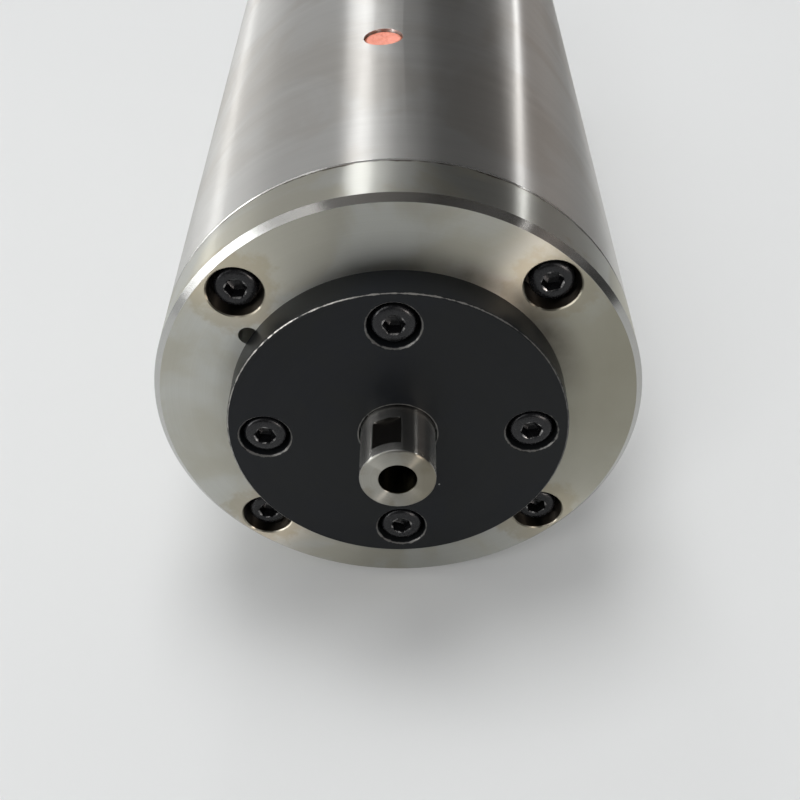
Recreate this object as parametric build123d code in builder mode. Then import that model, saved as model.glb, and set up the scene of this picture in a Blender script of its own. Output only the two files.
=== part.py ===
# Water-cooled motor spindle, piece by piece as it comes apart on a bench.
#
# Millimetres. The spindle lies along Y with its nose towards -Y and +Z up. The origin is the
# centre of the flange's front face, on the spindle axis. The motor is stacked from the shaft
# outwards and the length from the nose backwards, so every size below can be set by itself.
from build123d import *
from math import cos, pi, radians, sin, sqrt
import os

# Fits and clearances, on the radius unless they say otherwise
slip_fit = 0.02  # located spigots and rings in their seats
thread_fit = 0.05  # screws, nuts and threaded stems in their holes
ball_play = 0.04  # balls in their grooves and pockets
seal_gap = 0.35  # nose and slinger nut to the nose cap
air_gap = 0.3  # rotor to stator
slot_liner = 0.25  # insulation between winding and slot

# Socket head cap screws, one size throughout
screw_d = 4.0
screw_head_d = 7.0
screw_head_height = 4.0
screw_head_edge = 0.3
screw_socket_across = 3.0
screw_socket_depth = 2.2
screw_hole_d = 4.5
screw_count = 4
screw_bite = 8.0  # thread in the tapped hole
tap_spare = 2.0  # tapped hole past the end of its screw

# Nose of the shaft
nose_d = 12.0
nose_reach = 16.5  # ahead of the flange face
nose_chamfer = 0.6
tool_bore_d = 6.0
tool_bore_depth = 25.0
tool_bore_chamfer = 0.4
flats_across = 11.0
flats_setback = 2.0
flats_length = 6.0
flats_clock = 16.5  # degrees from the top, towards -X

# Nose cap
cap_thickness = 6.0
cap_front_wall = 2.5
cap_edge = 0.3
cap_spigot_length = 2.5
cap_spigot_relief = 0.8
cap_screw_land = 5.5  # screw circle outside the bearing bore
cap_rim = 6.0  # rim outside the screw circle
cap_counterbore_d = 8.3
cap_counterbore_chamfer = 0.3
cap_head_sink = 0.3  # screw heads below the cap's face

# Front flange
flange_thickness = 10.5
flange_chamfer = 1.0
seam_chamfer = 0.25
flange_screw_inset = 6.0  # screw circle inside the body's edge
flange_counterbore_d = 8.8
counterbore_edge = 0.25
flange_head_sink = 1.0
spigot_length = 6.0
hub_wall = 5.0
hub_lip = 3.0
pry_hole_d = 3.2
pry_hole_depth = 5.0
pry_hole_overlap = 0.4  # its centre outside the cap's edge
pry_hole_angle = 145.3

# Front bearings, a matched pair of 32 mm outside diameter
front_inner_d = 15.0
front_race_wall = 2.0  # ring under its groove
front_ball_d = 4.5
front_width = 9.0
front_ball_count = 10
spacer_width = 4.0
spacer_height = 2.0

# Rear bearing, 28 mm outside diameter
rear_inner_d = 12.0
rear_race_wall = 1.75
rear_ball_d = 4.5
rear_width = 8.0
rear_ball_count = 9

# All bearings
groove_depth = 0.5
groove_width = 4.2  # at the shoulders
groove_floor = 1.8  # flat at the bottom of a groove
cage_wall = 1.6
cage_side = 1.0  # cage beside its balls

# Shaft behind the nose
slinger_thread_d = 14.0
slinger_wall = 3.2
slinger_front = 0.3  # slinger nut to the cap's front wall
rotor_seat_d = 20.0
rear_neck_d = 16.0
rear_nut_width = 5.0
rear_nut_wall = 3.0
shaft_end_spare = 1.0

# Motor
core_length = 87.5
rotor_depth = 7.1  # laminations outside the shaft
end_ring_length = 6.0
end_ring_inset = 0.8
tooth_tip = 1.0
slot_depth = 6.6
slot_mouth = 1.8
tooth_width = 3.1
slot_count = 18
back_iron = 5.0
overhang_length = 16.0
overhang_chamfer = 1.5
winding_gap = 5.0

# Water jacket and sleeve
jacket_wall = 7.0
channel_depth = 3.0
channel_width = 13.0
channel_count = 7
gate_width = 10.0
feed_d = 3.0
feed_depth = 5.0  # feed holes inside the jacket's outside
seal_width = 2.0
seal_height = 1.4
seal_side = 0.2  # seal in its groove, at each side
seal_setback = 1.0  # groove past the end of the tapped holes
sleeve_wall = 3.0
plug_d = 7.0
plug_y = 55.0
plug_sink = 0.35
plug_clock = 2.4  # degrees from the top, towards -X

# Rear bearing housing
rear_lip = 2.5
rear_lip_wall = 3.5  # lip inside the bearing bore
spring_height = 2.5
spring_thickness = 0.6
spring_width = 2.1
rear_pocket = 4.0  # bearing to the jacket's rear end
rear_flange = 6.0
rear_hub_wall = 4.0
rear_spigot_length = 7.0

# Rear cover
cover_thickness = 10.0
wire_pocket_depth = 3.0
port_circle_r = 24.0
port_slot_width = 5.0
port_slot_depth = 3.0

# Round power connector
connector_barrel_d = 16.0
connector_wall = 1.5
connector_reach = 10.5
connector_collar = 2.5
connector_collar_height = 2.5
connector_floor = 1.5  # insert's face outside the rear cover
pin_d = 2.0
pin_circle_r = 3.6
pin_reach = 6.0
pin_count = 4
nut_across = 20.0
nut_thickness = 2.6

# Push-in water fittings
fitting_stem_d = 9.0
fitting_hex_across = 14.0
fitting_hex_height = 5.0
fitting_barrel_d = 13.0
fitting_reach = 14.0
fitting_flow_d = 4.0
fitting_edge = 0.5
hose_d = 6.0
hose_clearance = 0.05
hose_depth = 11.0
collet_wall = 1.4
collet_depth = 6.0
collet_reach = 2.0
collet_rim = 0.8
collet_rim_thickness = 1.0
collet_travel = 0.8
collet_fit = 0.05

# Lengthwise stations, from the flange face backwards
flange_back = flange_thickness
front_bearing_y = cap_spigot_length
spacer_y = front_bearing_y + front_width
second_bearing_y = spacer_y + spacer_width
hub_shoulder_y = second_bearing_y + front_width
hub_end = hub_shoulder_y + hub_lip
core_front = hub_end + winding_gap + overhang_length
core_back = core_front + core_length
rear_hub_front = core_back + overhang_length + winding_gap
spring_y = rear_hub_front + rear_lip
rear_bearing_y = spring_y + spring_height
rear_bearing_back = rear_bearing_y + rear_width
jacket_back = rear_bearing_back + rear_pocket
cover_front = jacket_back + rear_flange
body_length = cover_front + cover_thickness

# Radii, from the shaft outwards: 80 mm over the body, 55 mm over the cap
front_inner_r = front_inner_d / 2
front_ball_r = front_ball_d / 2
front_pitch_r = front_inner_r + front_race_wall + front_ball_r
front_bore_r = front_pitch_r + front_ball_r + front_race_wall
rear_inner_r = rear_inner_d / 2
rear_ball_r = rear_ball_d / 2
rear_pitch_r = rear_inner_r + rear_race_wall + rear_ball_r
rear_bore_r = rear_pitch_r + rear_ball_r + rear_race_wall
shaft_r = rotor_seat_d / 2
rotor_r = shaft_r + rotor_depth
stator_bore_r = rotor_r + air_gap
slot_floor_r = stator_bore_r + tooth_tip
slot_top_r = slot_floor_r + slot_depth
stator_r = slot_top_r + back_iron
jacket_r = stator_r + jacket_wall
body_r = jacket_r + sleeve_wall
cap_screw_r = front_bore_r + cap_screw_land
cap_r = cap_screw_r + cap_rim
body_screw_r = body_r - flange_screw_inset
feed_r = jacket_r - feed_depth
front_shoulder_r = front_bore_r - front_race_wall - groove_depth
slinger_r = slinger_thread_d / 2 + slinger_wall
rear_hub_r = rear_bore_r + rear_hub_wall


def spots(radius, count, start=0.0):
    """Places (x, z) spread evenly on a circle, the first at a start angle from +X."""
    steps = [radians(start + 360 * i / count) for i in range(count)]
    return [(radius * cos(step), radius * sin(step)) for step in steps]


def turn(*profile, mode=Mode.ADD):
    """Turn a closed profile of (y, radius) points about the spindle axis."""
    with BuildSketch(Plane.YZ) as section:
        with BuildLine():
            Polyline(*profile, close=True)
        make_face()
    revolve(section.sketch, axis=Axis.Y, mode=mode)


def ring(front, back, inner_r, outer_r, mode=Mode.ADD):
    """Turn a plain ring between two stations."""
    turn((front, inner_r), (front, outer_r), (back, outer_r), (back, inner_r), mode=mode)


def rods(front, back, radius, places, mode=Mode.ADD):
    """Round rods along Y between two stations, or with SUBTRACT the holes for them."""
    with BuildSketch(Plane.XZ.offset(-front)) as section:
        with Locations(*places):
            Circle(radius)
    extrude(section.sketch, amount=front - back, mode=mode)


def hexagons(front, back, across, places, mode=Mode.ADD):
    """Hexagonal rods along Y, or with SUBTRACT hexagonal sockets."""
    with BuildSketch(Plane.XZ.offset(-front)) as section:
        with Locations(*places):
            RegularPolygon(across / 2, 6, major_radius=False)
    extrude(section.sketch, amount=front - back, mode=mode)


def cones(front, back, front_r, back_r, places, mode=Mode.SUBTRACT):
    """Tapered holes along Y, such as the chamfer round a counterbore."""
    middle = (front + back) / 2
    with Locations(*[(x, middle, z) for x, z in places]):
        Cone(back_r, front_r, back - front, rotation=(90, 0, 0), mode=mode)


def cap_screws_at(seat, tip, places):
    """Socket head cap screws with the underside of the head at seat and the tip at tip."""
    way = 1 if tip > seat else -1
    top = seat - way * screw_head_height
    edge = top + way * screw_head_edge
    head_r = screw_head_d / 2
    rods(seat, edge, head_r, places)
    cones(min(top, edge), max(top, edge),
          head_r - screw_head_edge if way > 0 else head_r,
          head_r if way > 0 else head_r - screw_head_edge, places, mode=Mode.ADD)
    rods(seat, tip, screw_d / 2, places)
    hexagons(top, top + way * screw_socket_depth, screw_socket_across, places, mode=Mode.SUBTRACT)


def save(piece, name):
    """Label a finished piece and write it out."""
    piece.part.label = name
    export_step(piece.part, f"parts/{name}.step")


os.makedirs("parts", exist_ok=True)
body_screws = spots(body_screw_r, screw_count, 45)
nose_screws = spots(cap_screw_r, screw_count)
centre = [(0.0, 0.0)]
hole_r = screw_hole_d / 2
tapped_r = screw_d / 2 + thread_fit
tap_depth = screw_bite + tap_spare

# Front flange: carries both front bearings and closes the sleeve
flange_seat = flange_head_sink + screw_head_height
flange_counterbore_r = flange_counterbore_d / 2
spigot_r = stator_r - slip_fit
hub_r = front_bore_r + hub_wall
pry_hole_r = cap_r + pry_hole_overlap
with BuildPart() as front_flange:
    turn(
        (0, front_bore_r),
        (0, body_r - flange_chamfer),
        (flange_chamfer, body_r),
        (flange_back - seam_chamfer, body_r),
        (flange_back, body_r - seam_chamfer),
        (flange_back, spigot_r),
        (flange_back + spigot_length, spigot_r),
        (flange_back + spigot_length, hub_r),
        (hub_end, hub_r),
        (hub_end, front_shoulder_r),
        (hub_shoulder_y, front_shoulder_r),
        (hub_shoulder_y, front_bore_r),
    )
    rods(0, flange_seat, flange_counterbore_r, body_screws, mode=Mode.SUBTRACT)
    cones(0, counterbore_edge, flange_counterbore_r + counterbore_edge, flange_counterbore_r,
          body_screws)
    rods(0, flange_back, hole_r, body_screws, mode=Mode.SUBTRACT)
    rods(0, tap_depth, tapped_r, nose_screws, mode=Mode.SUBTRACT)
    rods(0, pry_hole_depth, pry_hole_d / 2, spots(pry_hole_r, 1, pry_hole_angle),
         mode=Mode.SUBTRACT)
save(front_flange, "front_flange")

# Nose cap: its spigot clamps the bearings, its recess and the slinger nut make the labyrinth
cap_face = -cap_thickness
cap_seat = cap_face + cap_head_sink + screw_head_height
cap_counterbore_r = cap_counterbore_d / 2
nose_hole_r = nose_d / 2 + seal_gap
recess_r = slinger_r + seal_gap
with BuildPart() as nose_cap:
    turn(
        (cap_face, nose_hole_r),
        (cap_face, cap_r - cap_edge),
        (cap_face + cap_edge, cap_r),
        (0, cap_r),
        (0, front_bore_r - slip_fit),
        (cap_spigot_length, front_bore_r - slip_fit),
        (cap_spigot_length, front_shoulder_r),
        (cap_spigot_length - cap_spigot_relief, front_shoulder_r),
        (cap_spigot_length - cap_spigot_relief, recess_r),
        (cap_face + cap_front_wall, recess_r),
        (cap_face + cap_front_wall, nose_hole_r),
    )
    rods(cap_face, cap_seat, cap_counterbore_r, nose_screws, mode=Mode.SUBTRACT)
    cones(cap_face, cap_face + cap_counterbore_chamfer,
          cap_counterbore_r + cap_counterbore_chamfer, cap_counterbore_r, nose_screws)
    rods(cap_face, 0, hole_r, nose_screws, mode=Mode.SUBTRACT)
save(nose_cap, "nose_cap")

# Screws of the flange and the cap
with BuildPart() as flange_screws:
    cap_screws_at(flange_seat, flange_back + screw_bite, body_screws)
save(flange_screws, "flange_screws")

with BuildPart() as cap_screws:
    cap_screws_at(cap_seat, screw_bite, nose_screws)
save(cap_screws, "cap_screws")

# Sleeve: the ground outside of the body, with one plugged hole near its front
plug_plane = Plane.XY.rotated((0, -plug_clock, 0))
with BuildPart() as housing_sleeve:
    turn(
        (flange_back, jacket_r),
        (flange_back, body_r - seam_chamfer),
        (flange_back + seam_chamfer, body_r),
        (cover_front - seam_chamfer, body_r),
        (cover_front, body_r - seam_chamfer),
        (cover_front, jacket_r),
    )
    with BuildSketch(plug_plane) as plug_hole:
        with Locations((0, plug_y)):
            Circle(plug_d / 2)
    extrude(plug_hole.sketch, amount=body_r, mode=Mode.SUBTRACT)
save(housing_sleeve, "housing_sleeve")

# Plug of the sleeve's hole, a little below the surface
with BuildPart() as sleeve_plug:
    with BuildSketch(plug_plane) as plug_round:
        with Locations((0, plug_y)):
            Circle(plug_d / 2 - slip_fit)
    extrude(plug_round.sketch, amount=body_r)
    ring(plug_y - plug_d, plug_y + plug_d, jacket_r + slip_fit, body_r - plug_sink,
         mode=Mode.INTERSECT)
save(sleeve_plug, "sleeve_plug")

# Water jacket: ring channels linked by gates on alternate sides, fed by two drilled holes
channels_length = jacket_back - flange_back
land = tap_depth + seal_setback + seal_width + 2 * seal_side
front_land_end = flange_back + land + seal_setback
back_land_end = jacket_back - land - seal_setback
pitch = (back_land_end - front_land_end - channel_width) / (channel_count - 1)
channel_floor_r = jacket_r - channel_depth
seal_floor_r = jacket_r - slip_fit - seal_height
seal_fronts = [flange_back + tap_depth + seal_setback,
               jacket_back - tap_depth - seal_setback - seal_width - 2 * seal_side]
with BuildPart() as water_jacket:
    ring(flange_back, jacket_back, stator_r, jacket_r - slip_fit)
    for i in range(channel_count):
        start = front_land_end + i * pitch
        ring(start, start + channel_width, channel_floor_r, body_r, mode=Mode.SUBTRACT)
    for i in range(channel_count - 1):
        side = 1 if i % 2 else -1
        rib = front_land_end + i * pitch + (channel_width + pitch) / 2
        with Locations((0, rib, side * (channel_floor_r + body_r) / 2)):
            Box(gate_width, pitch, body_r - channel_floor_r, mode=Mode.SUBTRACT)
    for start in seal_fronts:
        ring(start, start + seal_width + 2 * seal_side, seal_floor_r, body_r, mode=Mode.SUBTRACT)
    for reach, side in ((back_land_end - channel_width / 2, 1),
                        (front_land_end + channel_width / 2, -1)):
        rods(reach, jacket_back, feed_d / 2, [(side * feed_r, 0)], mode=Mode.SUBTRACT)
        with Locations((side * (feed_r + channel_floor_r) / 2, reach, 0)):
            Box(channel_floor_r - feed_r + feed_d, feed_d, feed_d, mode=Mode.SUBTRACT)
    rods(flange_back, flange_back + tap_depth, tapped_r, body_screws, mode=Mode.SUBTRACT)
    rods(jacket_back - tap_depth, jacket_back, tapped_r, body_screws, mode=Mode.SUBTRACT)
save(water_jacket, "water_jacket")

# Seals of the jacket in the sleeve
with BuildPart() as jacket_seals:
    for start in seal_fronts:
        ring(start + seal_side, start + seal_side + seal_width, seal_floor_r, jacket_r - slip_fit)
save(jacket_seals, "jacket_seals")


def slot_outline(front, back, liner):
    """Trapezoid slots between teeth of one width, cut or filled between two stations."""
    inner = slot_floor_r + liner
    outer = slot_top_r - liner
    halves = [pi * radius / slot_count - tooth_width / 2 - liner for radius in (inner, outer)]
    with BuildSketch(Plane.XZ.offset(-front)) as section:
        with PolarLocations(0, slot_count):
            with BuildLine() as outline:
                Polyline((inner, -halves[0]), (outer, -halves[1]), (outer, halves[1]),
                         (inner, halves[0]), close=True)
            make_face(outline.line)
    return section.sketch


# Stator laminations with open slots
with BuildPart() as stator_core:
    ring(core_front, core_back, stator_bore_r, stator_r - slip_fit)
    extrude(slot_outline(core_front, core_back, 0), amount=core_front - core_back,
            mode=Mode.SUBTRACT)
    with BuildSketch(Plane.XZ.offset(-core_front)) as mouths:
        with PolarLocations(stator_bore_r + tooth_tip / 2, slot_count):
            Rectangle(2 * tooth_tip, slot_mouth)
    extrude(mouths.sketch, amount=core_front - core_back, mode=Mode.SUBTRACT)
save(stator_core, "stator_core")

# Winding: the bars in the slots and the overhang at both ends
overhang_inner_r = slot_floor_r + slot_liner
overhang_outer_r = slot_top_r - slot_liner
with BuildPart() as stator_winding:
    extrude(slot_outline(core_front, core_back, slot_liner), amount=core_front - core_back)
    for inner_end, way in ((core_front, -1), (core_back, 1)):
        outer_end = inner_end + way * overhang_length
        turn(
            (inner_end, overhang_inner_r),
            (inner_end, overhang_outer_r),
            (outer_end - way * overhang_chamfer, overhang_outer_r),
            (outer_end, overhang_outer_r - overhang_chamfer),
            (outer_end, overhang_inner_r + overhang_chamfer),
            (outer_end - way * overhang_chamfer, overhang_inner_r),
        )
save(stator_winding, "stator_winding")


def outer_ring(start, width, outside_r, shoulder_r, ball_r, pitch_r):
    """Outer bearing ring with a groove for its balls."""
    middle = start + width / 2
    floor_r = pitch_r + ball_r + ball_play
    turn(
        (start, shoulder_r),
        (start, outside_r - slip_fit),
        (start + width, outside_r - slip_fit),
        (start + width, shoulder_r),
        (middle + groove_width / 2, shoulder_r),
        (middle + groove_floor / 2, floor_r),
        (middle - groove_floor / 2, floor_r),
        (middle - groove_width / 2, shoulder_r),
    )


def inner_ring(start, width, inside_r, shoulder_r, ball_r, pitch_r):
    """Inner bearing ring with a groove for its balls."""
    middle = start + width / 2
    floor_r = pitch_r - ball_r - ball_play
    turn(
        (start, inside_r + slip_fit),
        (start, shoulder_r),
        (middle - groove_width / 2, shoulder_r),
        (middle - groove_floor / 2, floor_r),
        (middle + groove_floor / 2, floor_r),
        (middle + groove_width / 2, shoulder_r),
        (start + width, shoulder_r),
        (start + width, inside_r + slip_fit),
    )


def ball_row(middle, ball_r, pitch_r, count):
    """Balls of one bearing: cubes chamfered so that all corners lie on the ball's sphere."""
    side = 10 / (3 * sqrt(3)) * ball_r
    cube = Box(side, side, side, mode=Mode.PRIVATE)
    ball = cube.chamfer(0.4 * side, None, cube.edges())
    with Locations(*[(x, middle, z) for x, z in spots(pitch_r, count)]):
        add(ball)


def cage(middle, ball_r, pitch_r, count):
    """Machined cage of one bearing, with a round pocket for each ball."""
    pocket_r = ball_r + ball_play
    half_width = pocket_r + cage_side
    ring(middle - half_width, middle + half_width, pitch_r - cage_wall / 2,
         pitch_r + cage_wall / 2)
    with Locations(Plane.XZ.offset(-middle)):
        with PolarLocations(pitch_r, count):
            Cylinder(pocket_r, 2 * cage_wall, rotation=(0, 90, 0), mode=Mode.SUBTRACT)


# Front bearings and the spacers between them
front_inner_shoulder_r = front_inner_r + front_race_wall + groove_depth
front_starts = [front_bearing_y, second_bearing_y]
with BuildPart() as front_outer_rings:
    for start in front_starts:
        outer_ring(start, front_width, front_bore_r, front_shoulder_r, front_ball_r,
                   front_pitch_r)
save(front_outer_rings, "front_outer_rings")

with BuildPart() as front_inner_rings:
    for start in front_starts:
        inner_ring(start, front_width, front_inner_r, front_inner_shoulder_r, front_ball_r,
                   front_pitch_r)
save(front_inner_rings, "front_inner_rings")

with BuildPart() as front_balls:
    for start in front_starts:
        ball_row(start + front_width / 2, front_ball_r, front_pitch_r, front_ball_count)
save(front_balls, "front_balls")

with BuildPart() as front_cages:
    for start in front_starts:
        cage(start + front_width / 2, front_ball_r, front_pitch_r, front_ball_count)
save(front_cages, "front_cages")

with BuildPart() as outer_spacer:
    ring(spacer_y, second_bearing_y, front_bore_r - spacer_height, front_bore_r - slip_fit)
save(outer_spacer, "outer_spacer")

with BuildPart() as inner_spacer:
    ring(spacer_y, second_bearing_y, front_inner_r + slip_fit, front_inner_r + spacer_height)
save(inner_spacer, "inner_spacer")

# Rear bearing, free to slide in its housing against the preload spring
rear_inner_shoulder_r = rear_inner_r + rear_race_wall + groove_depth
rear_outer_shoulder_r = rear_bore_r - rear_race_wall - groove_depth
rear_middle = rear_bearing_y + rear_width / 2
with BuildPart() as rear_outer_ring:
    outer_ring(rear_bearing_y, rear_width, rear_bore_r, rear_outer_shoulder_r, rear_ball_r,
               rear_pitch_r)
save(rear_outer_ring, "rear_outer_ring")

with BuildPart() as rear_inner_ring:
    inner_ring(rear_bearing_y, rear_width, rear_inner_r, rear_inner_shoulder_r, rear_ball_r,
               rear_pitch_r)
save(rear_inner_ring, "rear_inner_ring")

with BuildPart() as rear_balls:
    ball_row(rear_middle, rear_ball_r, rear_pitch_r, rear_ball_count)
save(rear_balls, "rear_balls")

with BuildPart() as rear_cage:
    cage(rear_middle, rear_ball_r, rear_pitch_r, rear_ball_count)
save(rear_cage, "rear_cage")

# Disc spring: pushes the rear outer ring backwards
spring_outer_r = rear_bore_r - slip_fit
spring_inner_r = spring_outer_r - spring_width
with BuildPart() as preload_spring:
    turn(
        (spring_y, spring_outer_r),
        (spring_y + spring_thickness, spring_outer_r),
        (spring_y + spring_height, spring_inner_r),
        (spring_y + spring_height - spring_thickness, spring_inner_r),
    )
save(preload_spring, "preload_spring")

# Rear bearing housing: spigot in the jacket, flange clamped under the rear cover
rear_lip_r = rear_bore_r - rear_lip_wall
rear_spigot_front = jacket_back - rear_spigot_length
feed_places = [(feed_r, 0), (-feed_r, 0)]
with BuildPart() as rear_bearing_housing:
    turn(
        (rear_hub_front, rear_lip_r),
        (rear_hub_front, rear_hub_r),
        (rear_spigot_front, rear_hub_r),
        (rear_spigot_front, spigot_r),
        (jacket_back, spigot_r),
        (jacket_back, jacket_r - slip_fit),
        (cover_front, jacket_r - slip_fit),
        (cover_front, rear_bore_r),
        (spring_y, rear_bore_r),
        (spring_y, rear_lip_r),
    )
    rods(jacket_back, cover_front, hole_r, body_screws, mode=Mode.SUBTRACT)
    rods(jacket_back, cover_front, feed_d / 2, feed_places, mode=Mode.SUBTRACT)
save(rear_bearing_housing, "rear_bearing_housing")

# Rear cover: carries the connector in its middle and a water fitting on each side
cover_seat = body_length - flange_head_sink - screw_head_height
ports = {"inlet": (port_circle_r, 0), "outlet": (-port_circle_r, 0)}
stem_hole_r = fitting_stem_d / 2 + thread_fit
barrel_r = connector_barrel_d / 2
slot_end_r = feed_r + port_slot_width / 2
with BuildPart() as rear_cover:
    turn(
        (cover_front, rear_bore_r),
        (cover_front, body_r - seam_chamfer),
        (cover_front + seam_chamfer, body_r),
        (body_length - flange_chamfer, body_r),
        (body_length, body_r - flange_chamfer),
        (body_length, barrel_r + thread_fit),
        (cover_front + wire_pocket_depth, barrel_r + thread_fit),
        (cover_front + wire_pocket_depth, rear_bore_r),
    )
    rods(cover_seat, body_length, flange_counterbore_r, body_screws, mode=Mode.SUBTRACT)
    cones(body_length - counterbore_edge, body_length, flange_counterbore_r,
          flange_counterbore_r + counterbore_edge, body_screws)
    rods(cover_front, body_length, hole_r, body_screws, mode=Mode.SUBTRACT)
    rods(cover_front, body_length, stem_hole_r, ports.values(), mode=Mode.SUBTRACT)
    for side in (1, -1):
        slot_middle = side * (port_circle_r + slot_end_r) / 2
        with Locations((slot_middle, cover_front + port_slot_depth / 2, 0)):
            Box(slot_end_r - port_circle_r, port_slot_depth, port_slot_width, mode=Mode.SUBTRACT)
save(rear_cover, "rear_cover")

with BuildPart() as rear_cover_screws:
    cap_screws_at(cover_seat, jacket_back - screw_bite, body_screws)
save(rear_cover_screws, "rear_cover_screws")

# Power connector: threaded shell, nut inside the cover, insert and pins
insert_r = barrel_r - connector_wall
tail = cover_front + wire_pocket_depth - nut_thickness
insert_face = body_length + connector_floor
pin_tail = tail - connector_floor
pins = spots(pin_circle_r, pin_count, 45)
with BuildPart() as connector_shell:
    turn(
        (tail, insert_r),
        (tail, barrel_r),
        (body_length, barrel_r),
        (body_length, barrel_r + connector_collar),
        (body_length + connector_collar_height, barrel_r + connector_collar),
        (body_length + connector_collar_height, barrel_r),
        (body_length + connector_reach, barrel_r),
        (body_length + connector_reach, insert_r),
    )
save(connector_shell, "connector_shell")

with BuildPart() as connector_nut:
    hexagons(tail, tail + nut_thickness, nut_across, centre)
    rods(tail, tail + nut_thickness, barrel_r + thread_fit, centre, mode=Mode.SUBTRACT)
save(connector_nut, "connector_nut")

with BuildPart() as connector_insert:
    rods(tail, insert_face, insert_r - slip_fit, centre)
    rods(tail, insert_face, pin_d / 2 + slip_fit, pins, mode=Mode.SUBTRACT)
save(connector_insert, "connector_insert")

with BuildPart() as connector_pins:
    rods(pin_tail, body_length + pin_reach, pin_d / 2, pins)
save(connector_pins, "connector_pins")

# Push-in water fittings, each with a collet that slides in to release the hose
hex_top = body_length + fitting_hex_height
fitting_top = body_length + fitting_reach
stem_end = cover_front + port_slot_depth
hose_r = hose_d / 2 + hose_clearance
fitting_r = fitting_barrel_d / 2
collet_r = hose_r + collet_wall
collet_floor = fitting_top - collet_depth - collet_travel - collet_fit
rim_front = fitting_top + collet_reach - collet_rim_thickness
for name, place in ports.items():
    with BuildPart() as fitting:
        rods(stem_end, body_length, fitting_stem_d / 2, [place])
        hexagons(body_length, hex_top, fitting_hex_across, [place])
        rods(hex_top, fitting_top - fitting_edge, fitting_r, [place])
        cones(fitting_top - fitting_edge, fitting_top, fitting_r, fitting_r - fitting_edge,
              [place], mode=Mode.ADD)
        rods(stem_end, fitting_top, fitting_flow_d / 2, [place], mode=Mode.SUBTRACT)
        rods(fitting_top - hose_depth, fitting_top, hose_r, [place], mode=Mode.SUBTRACT)
        rods(collet_floor, fitting_top, collet_r + collet_fit, [place], mode=Mode.SUBTRACT)
    save(fitting, f"{name}_fitting")

    with BuildPart() as collet:
        rods(fitting_top - collet_depth, fitting_top + collet_reach, collet_r, [place])
        rods(rim_front, fitting_top + collet_reach, collet_r + collet_rim, [place])
        rods(fitting_top - collet_depth, fitting_top + collet_reach, hose_r, [place],
             mode=Mode.SUBTRACT)
    save(collet, f"{name}_collet")

# Shaft: nose with wrench flats and tool bore, bearing seats, rotor seat
nose_end = -nose_reach
nose_r = nose_d / 2
bore_r = tool_bore_d / 2
slinger_start = cap_face + cap_front_wall + slinger_front
slinger_thread_r = slinger_thread_d / 2
rear_neck_r = rear_neck_d / 2
shaft_end = rear_bearing_back + rear_nut_width + shaft_end_spare
rotor_seat_back = core_back + end_ring_length
with BuildPart() as rotor_shaft:
    turn(
        (nose_end, bore_r + tool_bore_chamfer),
        (nose_end, nose_r - nose_chamfer),
        (nose_end + nose_chamfer, nose_r),
        (slinger_start, nose_r),
        (slinger_start, slinger_thread_r),
        (front_bearing_y, slinger_thread_r),
        (front_bearing_y, front_inner_r),
        (hub_shoulder_y, front_inner_r),
        (hub_shoulder_y, shaft_r),
        (rotor_seat_back, shaft_r),
        (rotor_seat_back, rear_neck_r),
        (rear_bearing_y, rear_neck_r),
        (rear_bearing_y, rear_inner_r),
        (shaft_end, rear_inner_r),
        (shaft_end, 0),
        (nose_end + tool_bore_depth + bore_r / 2, 0),
        (nose_end + tool_bore_depth, bore_r),
        (nose_end + tool_bore_chamfer, bore_r),
    )
    with BuildSketch(Plane.XZ.offset(nose_reach - flats_setback)) as flats:
        for turn_to in (flats_clock, flats_clock + 180):
            with Locations(Rotation(0, 0, turn_to)):
                with Locations((0, (flats_across + nose_d) / 2)):
                    Rectangle(2 * nose_d, nose_d)
    extrude(flats.sketch, amount=-flats_length, mode=Mode.SUBTRACT)
save(rotor_shaft, "rotor_shaft")

with BuildPart() as slinger_nut:
    ring(slinger_start, front_bearing_y, slinger_thread_r + thread_fit, slinger_r)
save(slinger_nut, "slinger_nut")

with BuildPart() as rear_nut:
    ring(rear_bearing_back, rear_bearing_back + rear_nut_width, rear_inner_r + thread_fit,
         rear_inner_r + rear_nut_wall)
save(rear_nut, "rear_nut")

# Rotor: laminations shrunk on the shaft between the end rings of its cage
with BuildPart() as rotor_core:
    ring(core_front, core_back, shaft_r + slip_fit, rotor_r)
save(rotor_core, "rotor_core")

with BuildPart() as rotor_end_rings:
    for start in (core_front - end_ring_length, core_back):
        ring(start, start + end_ring_length, shaft_r + slip_fit, rotor_r - end_ring_inset)
save(rotor_end_rings, "rotor_end_rings")
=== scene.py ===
import math

import bmesh
import bpy
from mathutils import Matrix, Vector


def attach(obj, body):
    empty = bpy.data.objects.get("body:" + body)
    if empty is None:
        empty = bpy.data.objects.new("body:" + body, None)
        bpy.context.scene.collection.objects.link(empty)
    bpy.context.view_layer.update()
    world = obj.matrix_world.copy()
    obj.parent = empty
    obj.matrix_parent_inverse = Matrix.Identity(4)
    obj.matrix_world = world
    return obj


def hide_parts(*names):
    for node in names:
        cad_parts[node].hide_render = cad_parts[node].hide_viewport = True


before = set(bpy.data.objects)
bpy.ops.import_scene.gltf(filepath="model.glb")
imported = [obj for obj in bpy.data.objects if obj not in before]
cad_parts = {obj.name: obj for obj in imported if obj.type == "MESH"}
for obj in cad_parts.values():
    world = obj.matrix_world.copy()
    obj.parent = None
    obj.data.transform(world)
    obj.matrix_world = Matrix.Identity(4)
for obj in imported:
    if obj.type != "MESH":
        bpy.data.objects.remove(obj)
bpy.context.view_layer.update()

MM = 0.001


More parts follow.
